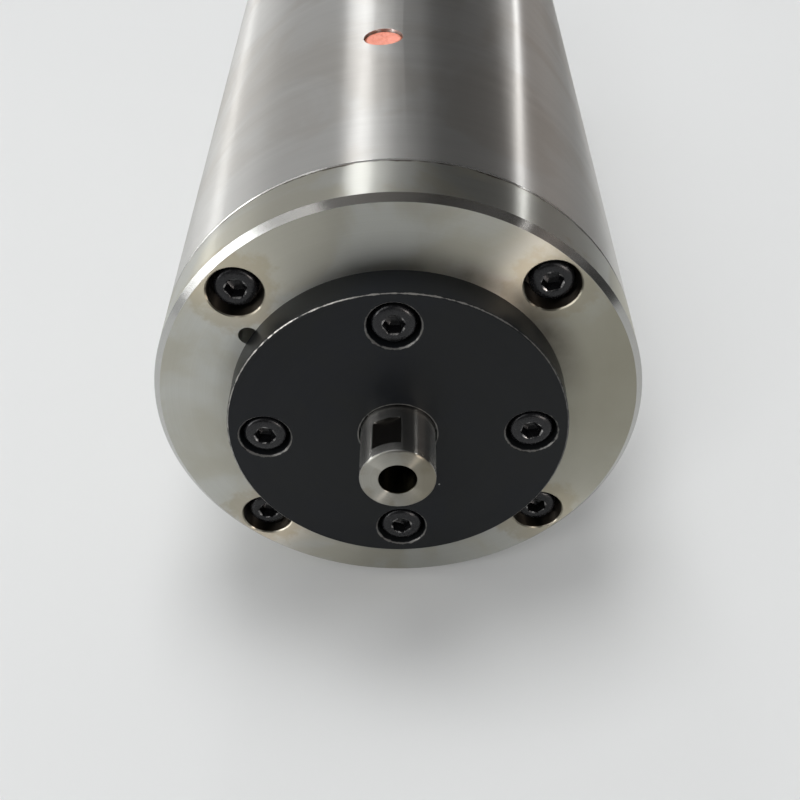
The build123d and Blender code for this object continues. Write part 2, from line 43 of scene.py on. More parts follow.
# ---------------------------------------------------------------------------------------------
# Stator core: silicon steel sheets half a millimetre thick, stamped with open slots and
# pressed into the water jacket as one stack. The sheets' edges show as fine bands.
# ---------------------------------------------------------------------------------------------
def node(tree, kind, links=None, **settings):
    """A shader node with its settings, and with values or links on its inputs."""
    made = tree.nodes.new(kind)
    for name, value in settings.items():
        setattr(made, name, value)
    for name, value in (links or {}).items():
        if isinstance(value, bpy.types.NodeSocket):
            tree.links.new(value, made.inputs[name])
        else:
            made.inputs[name].default_value = value
    return made


def calc(tree, operation, *values):
    """One step of arithmetic on numbers or sockets."""
    return node(tree, "ShaderNodeMath", dict(enumerate(values)), operation=operation).outputs[0]


def product(tree, result, *others):
    """Numbers or sockets multiplied together."""
    for other in others:
        result = calc(tree, "MULTIPLY", result, other)
    return result


def square_sum(tree, first, second):
    """The sum of the squares of two numbers."""
    return calc(tree, "ADD", product(tree, first, first), product(tree, second, second))


def between(tree, mask, low, high):
    """A number that goes from low to high as the mask goes from 0 to 1."""
    return node(tree, "ShaderNodeMix", {0: mask, 2: low, 3: high}).outputs[0]


def tint(tree, mask, first, second):
    """A colour that goes from first to second as the mask goes from 0 to 1."""
    colours = [c if isinstance(c, bpy.types.NodeSocket) else (*c, 1) for c in (first, second)]
    mixed = node(tree, "ShaderNodeMix", {0: mask, 6: colours[0], 7: colours[1]}, data_type="RGBA")
    return mixed.outputs[2]


def grain(tree, place, scale, detail=2.0, roughness=0.5, distortion=0.0):
    """Soft noise from 0 to 1 at a place in millimetres."""
    return node(tree, "ShaderNodeTexNoise",
                {"Vector": place, "Scale": scale, "Detail": detail, "Roughness": roughness,
                 "Distortion": distortion}).outputs[0]


def spot(tree):
    """The place on the piece in millimetres."""
    object_place = node(tree, "ShaderNodeTexCoord").outputs["Object"]
    return node(tree, "ShaderNodeVectorMath", {0: object_place, 3: 1 / MM},
                operation="SCALE").outputs[0]


def axes(tree, vector):
    """The X, Y and Z of a place or of a direction."""
    return node(tree, "ShaderNodeSeparateXYZ", {0: vector}).outputs


def start_group(name, inputs, outputs):
    """A shader node group with number inputs at the given values, and number outputs."""
    group = bpy.data.node_groups.new(name, "ShaderNodeTree")
    for label, value in inputs.items():
        group.interface.new_socket(label, in_out="INPUT",
                                   socket_type="NodeSocketFloat").default_value = value
    for label in outputs:
        group.interface.new_socket(label, in_out="OUTPUT", socket_type="NodeSocketFloat")
    return group, group.nodes.new("NodeGroupInput").outputs, group.nodes.new("NodeGroupOutput")


def use(tree, group, **values):
    """A node group placed in a material, with underscores for the spaces in its input names."""
    named = {name.replace("_", " "): value for name, value in values.items()}
    return node(tree, "ShaderNodeGroup", named, node_tree=group).outputs


def cutting_marks_group():
    """Marks left round the axis by a tool: along Y on round walls, outwards on flat faces."""
    tree, given, out = start_group("cutting marks", {"Spacing": 0.2, "Patch size": 12.0},
                                   ["Height", "Shade"])
    place = spot(tree)
    x, y, z = axes(tree, place)
    normal = node(tree, "ShaderNodeTexCoord").outputs["Normal"]
    on_face = calc(tree, "GREATER_THAN", calc(tree, "ABSOLUTE", axes(tree, normal)[1]), 0.6)
    radius = calc(tree, "SQRT", square_sum(tree, x, z))
    turns = calc(tree, "DIVIDE", between(tree, on_face, y, radius), given["Spacing"])
    lines, bands = [
        node(tree, "ShaderNodeTexNoise",
             {"W": turns, "Scale": scale, "Detail": detail, "Roughness": roughness},
             noise_dimensions="1D").outputs[0]
        for scale, detail, roughness in ((1.0, 4.0, 0.7), (0.07, 3.0, 0.6))]
    patches = grain(tree, place, calc(tree, "DIVIDE", 1.0, given["Patch size"]))
    shade = between(tree, 0.55, lines, bands)
    tree.links.new(lines, out.inputs["Height"])
    tree.links.new(between(tree, product(tree, patches, 1.4), 0.5, shade), out.inputs["Shade"])
    return tree


def finish(name, metal, rough, **more):
    """A material with one Principled shader. Returns it with its tree and its shader."""
    made = bpy.data.materials.new(name)
    made.use_nodes = True
    shader = made.node_tree.nodes["Principled BSDF"]
    for socket, value in {"Metallic": metal, "Roughness": rough, **more}.items():
        shader.inputs[socket.replace("_", " ")].default_value = value
    return made, made.node_tree, shader


def feed(tree, shader, height=None, depth=0.0, **sockets):
    """Links colours and numbers to a shader, and a height to a bump as deep as the depth."""
    for name, value in sockets.items():
        tree.links.new(value, shader.inputs[name.replace("_", " ")])
    if height is not None:
        bump = node(tree, "ShaderNodeBump",
                    {"Height": height, "Distance": depth * MM, "Strength": 1.0})
        tree.links.new(bump.outputs[0], shader.inputs["Normal"])


def crisp_edges(sharpest_smooth=math.radians(30)):
    """Geometry nodes that shade a mesh smooth but keep edges that bend by more sharp."""
    group = bpy.data.node_groups.new("crisp edges", "GeometryNodeTree")
    group.is_modifier = True
    for way in ("INPUT", "OUTPUT"):
        group.interface.new_socket("Geometry", in_out=way, socket_type="NodeSocketGeometry")
    start, end = group.nodes.new("NodeGroupInput"), group.nodes.new("NodeGroupOutput")
    bend = node(group, "GeometryNodeInputMeshEdgeAngle").outputs[0]
    smooth = node(group, "ShaderNodeMath", {0: bend, 1: sharpest_smooth}, operation="LESS_THAN")
    faces = node(group, "GeometryNodeSetShadeSmooth", {"Geometry": start.outputs[0]},
                 domain="FACE")
    edges = node(group, "GeometryNodeSetShadeSmooth",
                 {"Geometry": faces.outputs[0], "Shade Smooth": smooth.outputs[0]}, domain="EDGE")
    group.links.new(edges.outputs[0], end.inputs[0])
    return group


def dress(material, *names):
    """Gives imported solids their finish, and closes the seams in their shading."""
    for name in names:
        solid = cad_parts[name]
        if not solid.material_slots:
            solid.data.materials.append(material)
        for slot in solid.material_slots:
            slot.material = material
        solid.modifiers.new("closed_seams", "WELD").merge_threshold = SEAM_GAP * MM
        solid.modifiers.new("crisp_edges", "NODES").node_group = crisp
        solid.modifiers.new("even_faces", "WEIGHTED_NORMAL").keep_sharp = True


crisp, cutting_marks = crisp_edges(), cutting_marks_group()
SHEET = 0.5
SEAM_GAP = 0.001
laminations, tree, shader = finish("stacked_sheets", 1.0, 0.45)
marks = use(tree, cutting_marks, Spacing=SHEET, Patch_size=20.0)
feed(tree, shader, marks["Height"], 0.03,
     Base_Color=tint(tree, marks["Shade"], (0.22, 0.21, 0.20), (0.50, 0.49, 0.48)),
     Roughness=between(tree, marks["Shade"], 0.38, 0.6))
dress(laminations, "stator_core", "rotor_core")

# ---------------------------------------------------------------------------------------------
# Winding: enamelled copper wire in the slots and in the overhangs at both ends, laid by hand
# and soaked in clear varnish, so single strands show under a thin gloss.
# ---------------------------------------------------------------------------------------------
WIRE, WINDING_R, WANDER = 0.7, 24.0, 7.0
winding, tree, shader = finish("enamelled_wire", 0.85, 0.32, Coat_Weight=0.4, Coat_Roughness=0.12)
place = spot(tree)
x, y, z = axes(tree, place)
sway = grain(tree, place, 0.12)
around = product(tree, calc(tree, "ARCTAN2", z, x), WINDING_R)
across = calc(tree, "ADD", calc(tree, "ADD", around, y), product(tree, sway, WANDER))
strand = calc(tree, "DIVIDE", calc(tree, "PINGPONG", across, WIRE / 2), WIRE / 2)
feed(tree, shader, strand, 0.2,
     Base_Color=tint(tree, product(tree, strand, grain(tree, place, 0.4)),
                     (0.24, 0.075, 0.02), (0.78, 0.34, 0.13)),
     Roughness=between(tree, sway, 0.24, 0.42))
dress(winding, "stator_winding")


# ---------------------------------------------------------------------------------------------
# Water jacket: turned from aluminium bar, with ring channels milled round its outside. Water
# leaves it a little dull. Two rubber rings in its end grooves seal it in the sleeve.
# ---------------------------------------------------------------------------------------------
def lathe_finish(name, rough, stretch=1.0):
    """A bare metal finish with marks round the axis, which stretch its reflections."""
    made, tree, shader = finish(name, 1.0, rough, Anisotropic=stretch, Anisotropic_Rotation=0.25)
    tree.links.new(node(tree, "ShaderNodeTangent", axis="Y").outputs[0], shader.inputs["Tangent"])
    return made, tree, shader


aluminium, tree, shader = lathe_finish("turned_aluminium", 0.36, stretch=0.5)
marks = use(tree, cutting_marks, Spacing=0.3)
dull = grain(tree, spot(tree), 0.05, 4.0)
feed(tree, shader, marks["Height"], 0.006,
     Base_Color=tint(tree, marks["Shade"], (0.66, 0.67, 0.69), (0.82, 0.83, 0.84)),
     Roughness=between(tree, dull, 0.28, 0.52))
dress(aluminium, "water_jacket", "rotor_end_rings")

rubber, tree, shader = finish("seal_rubber", 0.0, 0.62, Specular_IOR_Level=0.35)
skin = grain(tree, spot(tree), 3.0, 3.0)
feed(tree, shader, skin, 0.01,
     Base_Color=tint(tree, skin, (0.018, 0.018, 0.018), (0.04, 0.04, 0.042)),
     Roughness=between(tree, skin, 0.5, 0.75))
dress(rubber, "jacket_seals")

# ---------------------------------------------------------------------------------------------
# Shaft: hardened steel, turned and ground between centres. Its nose stands out of the cap with
# a bored end for the tool and two wrench flats. The end face is turned, and oil browns it.
# ---------------------------------------------------------------------------------------------
NOSE_R, NOSE_END = 6.0, -16.5
BORE_R, BORE_END, BORE_POINT = 3.0, 8.5, 10.0
FLAT_HALF, FLAT_FROM, FLAT_TO = 5.5, -14.5, -8.5
FLAT_ANGLE = math.radians(106.5)
NUT_SEAT, NUT_SEAT_R = -3.2, 7.0
FRONT_SEAT, FRONT_SEAT_R = 2.5, 7.5
CORE_SEAT, CORE_SEAT_R = 24.5, 10.0
REAR_NECK, REAR_NECK_R = 142.0, 8.0
REAR_SEAT, REAR_SEAT_R, SHAFT_END = 162.0, 6.0, 176.0
# A turned end closes with a tiny ring round its middle point. Rings nearer to each other than
# the weld become one.
POLE_R, WELD = 0.01, 0.0002


def rise(tree, value, low, high, first=0.0, last=1.0, smooth=False):
    """A number that goes from first to last as the value goes from low to high."""
    return node(tree, "ShaderNodeMapRange", {0: value, 1: low, 2: high, 3: first, 4: last},
                interpolation_type="SMOOTHSTEP" if smooth else "LINEAR").outputs[0]


def eased(*corners):
    """Rings of a profile of (y, radius, easing) corners, each corner rounded by its easing."""
    rings = []
    for last, corner, following in zip((corners[0],) + corners[:-1], corners,
                                       corners[1:] + (corners[-1],)):
        here = Vector(corner[:2])
        ways = [Vector(other[:2]) - here for other in (last, following)]
        if not corner[2] or not all(way.length for way in ways):
            rings.append((*corner[:2], 0.0))
            continue
        before, after = [way.normalized() * corner[2] for way in ways]
        for step in (0.0, 0.25, 0.5, 0.75, 1.0):
            point = here + before * (1 - step) ** 2 + after * step ** 2
            rings.append((point.x, point.y, 1 - abs(2 * step - 1)))
    return rings


def turned(name, rings, count=96, closed=False):
    """A mesh skinned over rings of (y, radius, wear) in millimetres round Y. A radius is a
    number or a rule of the angle. Wear from 0 to 1 marks the rubbed edges."""
    shape = bmesh.new()
    wear = shape.verts.layers.float.new("wear")
    rows = []
    for y, radius, worn in rings:
        row = []
        for i in range(1 if radius == 0 else count):
            angle = 2 * math.pi * i / count
            reach = (radius(angle) if callable(radius) else radius) * MM
            vert = shape.verts.new((reach * math.cos(angle), y * MM, reach * math.sin(angle)))
            vert[wear] = worn
            row.append(vert)
        rows.append(row)
    for first, second in zip(rows, rows[1:] + (rows[:1] if closed else [])):
        for i in range(count):
            j = i + 1
            corners = [row[k % len(row)] for row, k in ((first, i), (first, j), (second, j),
                                                        (second, i))]
            distinct = list(dict.fromkeys(corners))
            if len(distinct) > 2:
                shape.faces.new(distinct)
    bmesh.ops.remove_doubles(shape, verts=shape.verts, dist=WELD * MM)
    bmesh.ops.recalc_face_normals(shape, faces=shape.faces)
    mesh = bpy.data.meshes.new(name)
    shape.to_mesh(mesh)
    shape.free()
    mesh.shade_smooth()
    mesh.set_sharp_from_angle(angle=math.radians(32))
    return mesh


def piece(name, mesh, material, slot, body, *stands_for, place=(0, 0, 0), turn=None):
    """An object of a mesh, placed in millimetres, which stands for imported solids."""
    mesh.materials.clear()
    mesh.materials.append(material)
    made = bpy.data.objects.new(name, mesh)
    bpy.context.scene.collection.objects.link(made)
    made.matrix_world = Matrix.Translation(Vector(place) * MM) @ (turn or Matrix.Identity(4))
    made.modifiers.new("even_faces", "WEIGHTED_NORMAL").keep_sharp = True
    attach(made, body)
    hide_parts(*stands_for)


def edge_distance_group():
    """Millimetres from a round edge: one of four holes on a circle, or the piece's own rim
    where the circle is 0. The edge has a radius and a station along Y."""
    tree, given, out = start_group(
        "edge distance", {"Circle radius": 0.0, "First angle": 0.0, "Edge radius": 1.0,
                          "Station": 0.0}, ["Distance", "From axis"])
    x, y, z = axes(tree, spot(tree))
    square = square_sum(tree, x, z)
    angle = calc(tree, "SUBTRACT", calc(tree, "ARCTAN2", z, x), given["First angle"])
    folded = calc(tree, "COSINE", calc(tree, "PINGPONG", angle, math.pi / 4))
    circle = given["Circle radius"]
    cross = product(tree, calc(tree, "SQRT", square), folded, circle, 2.0)
    squares = calc(tree, "ADD", square, product(tree, circle, circle))
    from_hole = calc(tree, "SQRT", calc(tree, "MAXIMUM", calc(
        tree, "SUBTRACT", squares, cross), 0.0))
    across = calc(tree, "SUBTRACT", from_hole, given["Edge radius"])
    down = calc(tree, "SUBTRACT", y, given["Station"])
    tree.links.new(calc(tree, "SQRT", square_sum(tree, across, down)), out.inputs["Distance"])
    tree.links.new(from_hole, out.inputs["From axis"])
    return tree


def rubbed_group():
    """Wear that fades away from an edge over its reach and breaks up into patches along it."""
    tree, given, out = start_group("rubbed edge", {"Distance": 0.0, "Reach": 0.4,
                                                   "Patch size": 2.0, "Amount": 1.0}, ["Mask"])
    patches = grain(tree, spot(tree), calc(tree, "DIVIDE", 1.0, given["Patch size"]), 4.0, 0.65)
    near = calc(tree, "SUBTRACT", 1.0, calc(tree, "DIVIDE", given["Distance"], given["Reach"]))
    uneven = product(tree, calc(tree, "SUBTRACT", patches, 0.5), 2.2)
    soft = rise(tree, calc(tree, "ADD", near, uneven), 0.3, 0.8, smooth=True)
    mask = product(tree, soft, calc(tree, "GREATER_THAN", near, 0.0), given["Amount"])
    tree.links.new(mask, out.inputs["Mask"])
    return tree


def flat_rule(angle):
    """Radius of the nose with its two wrench flats."""
    across = abs(math.cos(angle - FLAT_ANGLE))
    return min(NOSE_R, FLAT_HALF / across) if across > 0.5 else NOSE_R


edge_distance, rubbed = edge_distance_group(), rubbed_group()
shaft_steel, tree, shader = lathe_finish("ground_shaft", 0.4)
marks = use(tree, cutting_marks, Spacing=0.16, Patch_size=5.0)
place = spot(tree)
x, y, _ = axes(tree, place)
film = rise(tree, grain(tree, place, 0.35, 5.0, 0.6), 0.5, 0.72)
from_axis = use(tree, edge_distance)["From axis"]
bore_painted_shade = calc(tree, "LESS_THAN", from_axis, BORE_R + 0.05)
# The flats lie between their half width and the nose's radius from the axis, behind its end.
on_flat = product(tree, calc(tree, "COMPARE", from_axis, (FLAT_HALF + NOSE_R) / 2 - 0.02, 0.25),
                  calc(tree, "GREATER_THAN", y, FLAT_FROM + 0.1))
on_end = calc(tree, "LESS_THAN", y, NOSE_END + 0.2)
browned = product(tree, rise(tree, x, -0.5, 4.0), on_end)
ground = tint(tree, marks["Shade"], (0.36, 0.355, 0.34), (0.60, 0.595, 0.57))
turned_end = tint(tree, marks["Shade"], (0.23, 0.225, 0.20), (0.42, 0.41, 0.37))
steel = tint(tree, on_end, ground, turned_end)
steel = tint(tree, product(tree, film, 0.5), steel, (0.23, 0.20, 0.15))
steel = tint(tree, product(tree, browned, 0.7), steel, (0.17, 0.15, 0.105))
# Painted reflection: the flats are coloured dark for the black cap that they mirror.
steel = tint(tree, on_flat, steel, (0.10, 0.095, 0.085))
rough = calc(tree, "ADD", between(tree, on_end, 0.22, 0.31), product(tree, film, 0.06))
# Painted shade: the bore is coloured near black, as the shade inside it.
feed(tree, shader, marks["Height"], 0.006,
     Base_Color=tint(tree, bore_painted_shade, steel, (0.05, 0.045, 0.03)),
     Roughness=between(tree, on_flat, rough, 0.16))
shaft_rings = [(BORE_POINT, 0, 0)] + eased(
    (BORE_POINT, POLE_R, 0), (BORE_END, BORE_R, 0.1), (NOSE_END, BORE_R, 0.16),
    (NOSE_END, NOSE_R, 0.42), (FLAT_FROM, NOSE_R, 0))
shaft_rings += [(FLAT_FROM, flat_rule, 0.6), (FLAT_FROM + 0.05, flat_rule, 0),
                (FLAT_TO - 0.2, flat_rule, 0), (FLAT_TO - 0.05, NOSE_R, 0.4)]
shaft_rings += eased(
    (FLAT_TO, NOSE_R, 0), (NUT_SEAT, NOSE_R, 0.1), (NUT_SEAT, NUT_SEAT_R, 0.3),
    (FRONT_SEAT, NUT_SEAT_R, 0), (FRONT_SEAT, FRONT_SEAT_R, 0.3),
    (CORE_SEAT, FRONT_SEAT_R, 0.1), (CORE_SEAT, CORE_SEAT_R, 0.4),
    (REAR_NECK, CORE_SEAT_R, 0.4), (REAR_NECK, REAR_NECK_R, 0.1),
    (REAR_SEAT, REAR_NECK_R, 0.3), (REAR_SEAT, REAR_SEAT_R, 0.1),
    (SHAFT_END, REAR_SEAT_R, 0.5), (SHAFT_END, POLE_R, 0)) + [(SHAFT_END, 0, 0)]
piece("shaft", turned("shaft", shaft_rings, 240), shaft_steel, "shaft_steel", "rotor",
      "rotor_shaft")

# ---------------------------------------------------------------------------------------------
# Bearings: ground rings of bearing steel with polished balls in a cloth-and-resin cage, a pair
# in the flange and one at the rear. Spacers set the pair apart, a disc spring loads the rear.
# ---------------------------------------------------------------------------------------------
bearing_steel, tree, shader = finish("bearing_steel", 1.0, 0.16)
marks = use(tree, cutting_marks, Spacing=0.1)
feed(tree, shader, marks["Height"], 0.002,
     Base_Color=tint(tree, marks["Shade"], (0.68, 0.68, 0.69), (0.80, 0.80, 0.81)),
     Roughness=between(tree, marks["Shade"], 0.1, 0.24))
dress(bearing_steel, "front_outer_rings", "front_inner_rings", "rear_outer_ring",
      "rear_inner_ring", "preload_spring")

THREAD_WIDTH = 0.2
cage_cloth, tree, shader = finish("cloth_and_resin", 0.0, 0.5)
place = spot(tree)
threads = [calc(tree, "PINGPONG", way, THREAD_WIDTH) for way in axes(tree, place)[:2]]
weave = product(tree, calc(tree, "ADD", *threads), 0.5 / THREAD_WIDTH)
feed(tree, shader, weave, 0.04,
     Base_Color=tint(tree, weave, (0.24, 0.11, 0.04), (0.50, 0.28, 0.12)),
     Roughness=between(tree, grain(tree, place, 1.0), 0.4, 0.62))
dress(cage_cloth, "front_cages", "rear_cage")

BALL_R = 2.25


def ball_set(name, middles, pitch_r, count, body, stands_for):
    """Rows of polished balls, as many as the bearing holds."""
    balls = bmesh.new()
    for middle in middles:
        for i in range(count):
            angle = 2 * math.pi * i / count
            centre = Vector((pitch_r * math.cos(angle), middle, pitch_r * math.sin(angle))) * MM
            bmesh.ops.create_icosphere(balls, subdivisions=3, radius=BALL_R * MM,
                                       matrix=Matrix.Translation(centre))
    mesh = bpy.data.meshes.new(name)
    balls.to_mesh(mesh)
    balls.free()
    mesh.shade_smooth()
    piece(name, mesh, bearing_steel, "bearing_steel", body, stands_for)


ball_set("front_bearing_balls", (7.0, 20.0), 11.75, 10, "front_ball_sets", "front_balls")
ball_set("rear_bearing_balls", (166.0,), 10.0, 9, "rear_ball_set", "rear_balls")

# ---------------------------------------------------------------------------------------------
# Front flange, rear bearing housing, spacers and nuts: turned from stainless bar. The flange
# shows the tool's rings, stains and a few specks. Painted shade darkens the face towards the
# right and inside the counterbores, and a painted reflection of the cap, with a little oil, makes
# a dark smear above the cap. Grime lies on its chamfer and in the seam behind.
# ---------------------------------------------------------------------------------------------
BODY_R, CHAMFER, SEAM = 40.0, 1.0, 10.4
SCREW_CIRCLE, SCREW_ANGLE, COUNTERBORE_R = 34.0, 45, 4.4
CAP_SHADE_R, CAP_SHADE_REACH = 28.0, 5.0


def stains_group():
    """Soft-edged stains of a size, over a share of the surface."""
    tree, given, out = start_group("stains", {"Size": 10.0, "Cover": 0.3}, ["Mask"])
    cloud = grain(tree, spot(tree), calc(tree, "DIVIDE", 1.0, given["Size"]), 5.0, 0.55, 0.6)
    edge = calc(tree, "SUBTRACT", 0.78, product(tree, given["Cover"], 0.5))
    mask = rise(tree, cloud, calc(tree, "SUBTRACT", edge, 0.14), edge, smooth=True)
    tree.links.new(mask, out.inputs["Mask"])
    return tree


def specks_group():
    """Small round specks, one to a cell where the cell's own number is under the share."""
    tree, given, out = start_group("specks", {"Spacing": 6.0, "Size": 0.2, "Share": 0.3}, ["Mask"])
    scale = calc(tree, "DIVIDE", 1.0, given["Spacing"])
    cells = node(tree, "ShaderNodeTexVoronoi", {"Vector": spot(tree), "Scale": scale}).outputs
    number = node(tree, "ShaderNodeSeparateColor", {0: cells["Color"]}).outputs[0]
    size = calc(tree, "DIVIDE", product(tree, given["Size"], number), given["Spacing"])
    inside = calc(tree, "LESS_THAN", cells["Distance"], calc(tree, "DIVIDE", size, given["Share"]))
    chosen = calc(tree, "LESS_THAN", number, given["Share"])
    tree.links.new(product(tree, inside, chosen), out.inputs["Mask"])
    return tree


stains, specks = stains_group(), specks_group()
turned_steel, tree, shader = lathe_finish("turned_stainless", 0.44)
marks = use(tree, cutting_marks, Spacing=0.28, Patch_size=16.0)
place = spot(tree)
x, y, z = axes(tree, place)
steel = tint(tree, marks["Shade"], (0.425, 0.425, 0.39), (0.60, 0.605, 0.57))

# Stains left by hands, and oil that crept out of the screw holes.
handled = use(tree, stains, Size=22.0, Cover=0.45)["Mask"]
steel = tint(tree, product(tree, handled, 0.45), steel, (0.46, 0.43, 0.33))
holes = use(tree, edge_distance, Circle_radius=SCREW_CIRCLE, Edge_radius=COUNTERBORE_R + 0.25,
            First_angle=math.radians(SCREW_ANGLE))
oily = use(tree, rubbed, Distance=holes["Distance"], Reach=5.0, Patch_size=4.0)["Mask"]
steel = tint(tree, product(tree, oily, 0.5), steel, (0.37, 0.31, 0.20))

# Painted shade: a cloudy darker film on the face, from the middle to the right rim and not on the
# foot, for the darker reflection on the face's right side.
cloudy = between(tree, grain(tree, place, 0.06, 4.0), 0.5, 0.95)
film = product(tree, rise(tree, x, 2.0, 34.0), calc(tree, "LESS_THAN", y, 0.2),
               rise(tree, z, -24.0, -4.0), cloudy)
steel = tint(tree, film, steel, (0.28, 0.265, 0.205))

# The chamfer reaches 0.71 of its size from its own middle. It is brighter than the face, with
# grime along its top that thins out to the right.
slant = use(tree, edge_distance, Edge_radius=BODY_R - CHAMFER / 2, Station=CHAMFER / 2)
chamfered = calc(tree, "LESS_THAN", slant["Distance"], 0.73 * CHAMFER)
steel = tint(tree, chamfered, steel, (0.50, 0.50, 0.485))
grimy = product(tree, use(tree, stains, Size=9.0, Cover=0.9)["Mask"],
                rise(tree, x, -22.0, -4.0), rise(tree, x, 8.0, 30.0, 1.0, 0.3))
steel = tint(tree, product(tree, chamfered, grimy, 0.6), steel, (0.16, 0.14, 0.115))

# Painted reflection: a dark smear that fades away from the cap's upper right, for the cap's
# reflection in the face, with a little oil.
from_cap = use(tree, edge_distance, Edge_radius=CAP_SHADE_R)["Distance"]
painted_cap_shade = product(tree, rise(tree, from_cap, 0.0, CAP_SHADE_REACH, 0.95, 0.0, smooth=True),
                between(tree, grain(tree, place, 0.35, 4.0), 0.35, 1.0),
                rise(tree, x, 2.0, 11.0), rise(tree, z, 2.0, 14.0))
steel = tint(tree, painted_cap_shade, steel, (0.12, 0.105, 0.085))

# Grime in the seam to the sleeve, painted shade inside the counterbores, and a few dots.
seam = use(tree, edge_distance, Edge_radius=BODY_R - 0.1, Station=SEAM)["Distance"]
seam = use(tree, rubbed, Distance=seam, Reach=0.8, Patch_size=5.0, Amount=0.95)["Mask"]
steel = tint(tree, seam, steel, (0.07, 0.05, 0.035))
counterbore_painted_shade = calc(tree, "LESS_THAN", holes["From axis"], COUNTERBORE_R + 0.05)
steel = tint(tree, product(tree, counterbore_painted_shade, 0.92), steel, (0.036, 0.028, 0.022))
dots = use(tree, specks, Spacing=9.0, Size=0.28, Share=0.3)["Mask"]
rough = calc(tree, "ADD", between(tree, marks["Shade"], 0.27, 0.36), product(tree, handled, 0.06))
feed(tree, shader, marks["Height"], 0.006,
     Base_Color=tint(tree, dots, steel, (0.03, 0.028, 0.025)),
     Roughness=between(tree, chamfered, rough, 0.2))
dress(turned_steel, "front_flange", "rear_bearing_housing", "rear_cover", "outer_spacer",
      "inner_spacer", "slinger_nut", "rear_nut")

# ---------------------------------------------------------------------------------------------
# Sleeve: a stainless tube ground on its outside, so fine lines run round it and stretch each
# light into a streak along the body. It slips over the jacket between flange and rear cover.
# ---------------------------------------------------------------------------------------------
SLEEVE_START, SLEEVE_CHAMFER = 10.5, 0.24
ground_steel, tree, shader = lathe_finish("ground_sleeve", 0.36)
marks = use(tree, cutting_marks, Spacing=0.22, Patch_size=14.0)
handled = use(tree, stains, Size=30.0, Cover=0.35)["Mask"]
steel = tint(tree, marks["Shade"], (0.48, 0.475, 0.46), (0.72, 0.715, 0.695))
lip = use(tree, edge_distance, Edge_radius=BODY_R - SLEEVE_CHAMFER / 2,
          Station=SLEEVE_START + SLEEVE_CHAMFER / 2)["Distance"]
feed(tree, shader, marks["Height"], 0.005,
     Base_Color=tint(tree, product(tree, handled, 0.25), steel, (0.42, 0.37, 0.31)),
     Roughness=between(tree, calc(tree, "LESS_THAN", lip, 0.22),
                       between(tree, marks["Shade"], 0.3, 0.41), 0.2))
dress(ground_steel, "housing_sleeve")

# ---------------------------------------------------------------------------------------------
# Sleeve plug: a soft copper plug hammered into the sleeve's one cross hole, a little below
# the ground surface, dimpled in its middle and dark round its edge where the hole shows.
# ---------------------------------------------------------------------------------------------
PLUG_R, PLUG_Y, PLUG_TOP, PLUG_FOOT = 3.46, 55.0, 39.6, 37.05
PLUG_LEAN = math.radians(2.4)
# The hammered top: radius of each ring, how far it lies below the highest, and its wear.
PLUG_FACE = ((3.2, 0.1, 0.7), (2.95, 0.02, 0.15), (2.6, 0, 0), (1.9, 0.03, 0), (1.0, 0.12, 0))
PLUG_DIMPLE = 0.16


def worn_edges(tree):
    """The wear from 0 to 1 that a turned mesh carries on its edges."""
    return node(tree, "ShaderNodeAttribute", attribute_name="wear").outputs["Fac"]


def plug_rule(radius):
    """Radius of a hammered ring, which wavers a little round the plug."""
    return lambda angle: radius + 0.05 * math.sin(3 * angle + 0.7) + 0.035 * math.sin(7 * angle)


copper, tree, shader = finish("hammered_copper", 0.3, 0.42)
dents = grain(tree, spot(tree), 0.9, 3.0)
dented = tint(tree, dents, (0.84, 0.22, 0.13), (1.0, 0.42, 0.31))
feed(tree, shader, dents, 0.3,
     Base_Color=tint(tree, worn_edges(tree), dented, (0.30, 0.10, 0.04)),
     Roughness=between(tree, dents, 0.34, 0.6))
plug_rings = [(PLUG_FOOT, 0, 0), (PLUG_FOOT, PLUG_R, 0), (PLUG_TOP - 0.45, PLUG_R, 1),
              (PLUG_TOP - 0.3, PLUG_R, 1)]
plug_rings += [(PLUG_TOP - below, plug_rule(radius), wear) for radius, below, wear in PLUG_FACE]
plug_rings += [(PLUG_TOP - PLUG_DIMPLE, 0, 0)]
piece("copper_plug", turned("copper_plug", plug_rings), copper, "copper_plug", "housing",
      "sleeve_plug", place=(0, PLUG_Y, 0),
      turn=Matrix.Rotation(-PLUG_LEAN, 4, "Y") @ Matrix.Rotation(math.pi / 2, 4, "X"))

# ---------------------------------------------------------------------------------------------
# Nose cap: turned steel, blackened in hot oxide and oiled. Handling has rubbed its front edge,
# most on the left, and the rims of its four counterbores back to bright metal, and left pale
# specks of dust.
# ---------------------------------------------------------------------------------------------
CAP_FACE, CAP_R, CAP_CHAMFER = -6.0, 27.5, 0.24
CAP_SCREW_CIRCLE, CAP_RIM_R, CAP_MOUTH_R = 21.5, 4.3, 6.4
black_cap, tree, shader = finish("black_oxide", 0.0, 0.4, Specular_IOR_Level=0.14)
marks = use(tree, cutting_marks, Spacing=0.3, Patch_size=10.0)
outer = use(tree, edge_distance, Edge_radius=CAP_R - CAP_CHAMFER / 2,
            Station=CAP_FACE + CAP_CHAMFER / 2)["Distance"]
rims = use(tree, edge_distance, Circle_radius=CAP_SCREW_CIRCLE, Edge_radius=CAP_RIM_R,
           Station=CAP_FACE + 0.15)["Distance"]
mouth = use(tree, edge_distance, Edge_radius=CAP_MOUTH_R, Station=CAP_FACE)["Distance"]
held_side = rise(tree, axes(tree, spot(tree))[0], -6.0, 16.0, 0.6, 0.2)
outer, rims, mouth = [
    use(tree, rubbed, Distance=distance, Reach=reach, Patch_size=patch, Amount=amount)["Mask"]
    for distance, reach, patch, amount in (
        (outer, 0.2, 1.3, held_side), (rims, 0.3, 0.8, 0.24), (mouth, 0.2, 1.2, 0.25))]
bare = calc(tree, "MAXIMUM", outer, calc(tree, "MAXIMUM", rims, mouth))
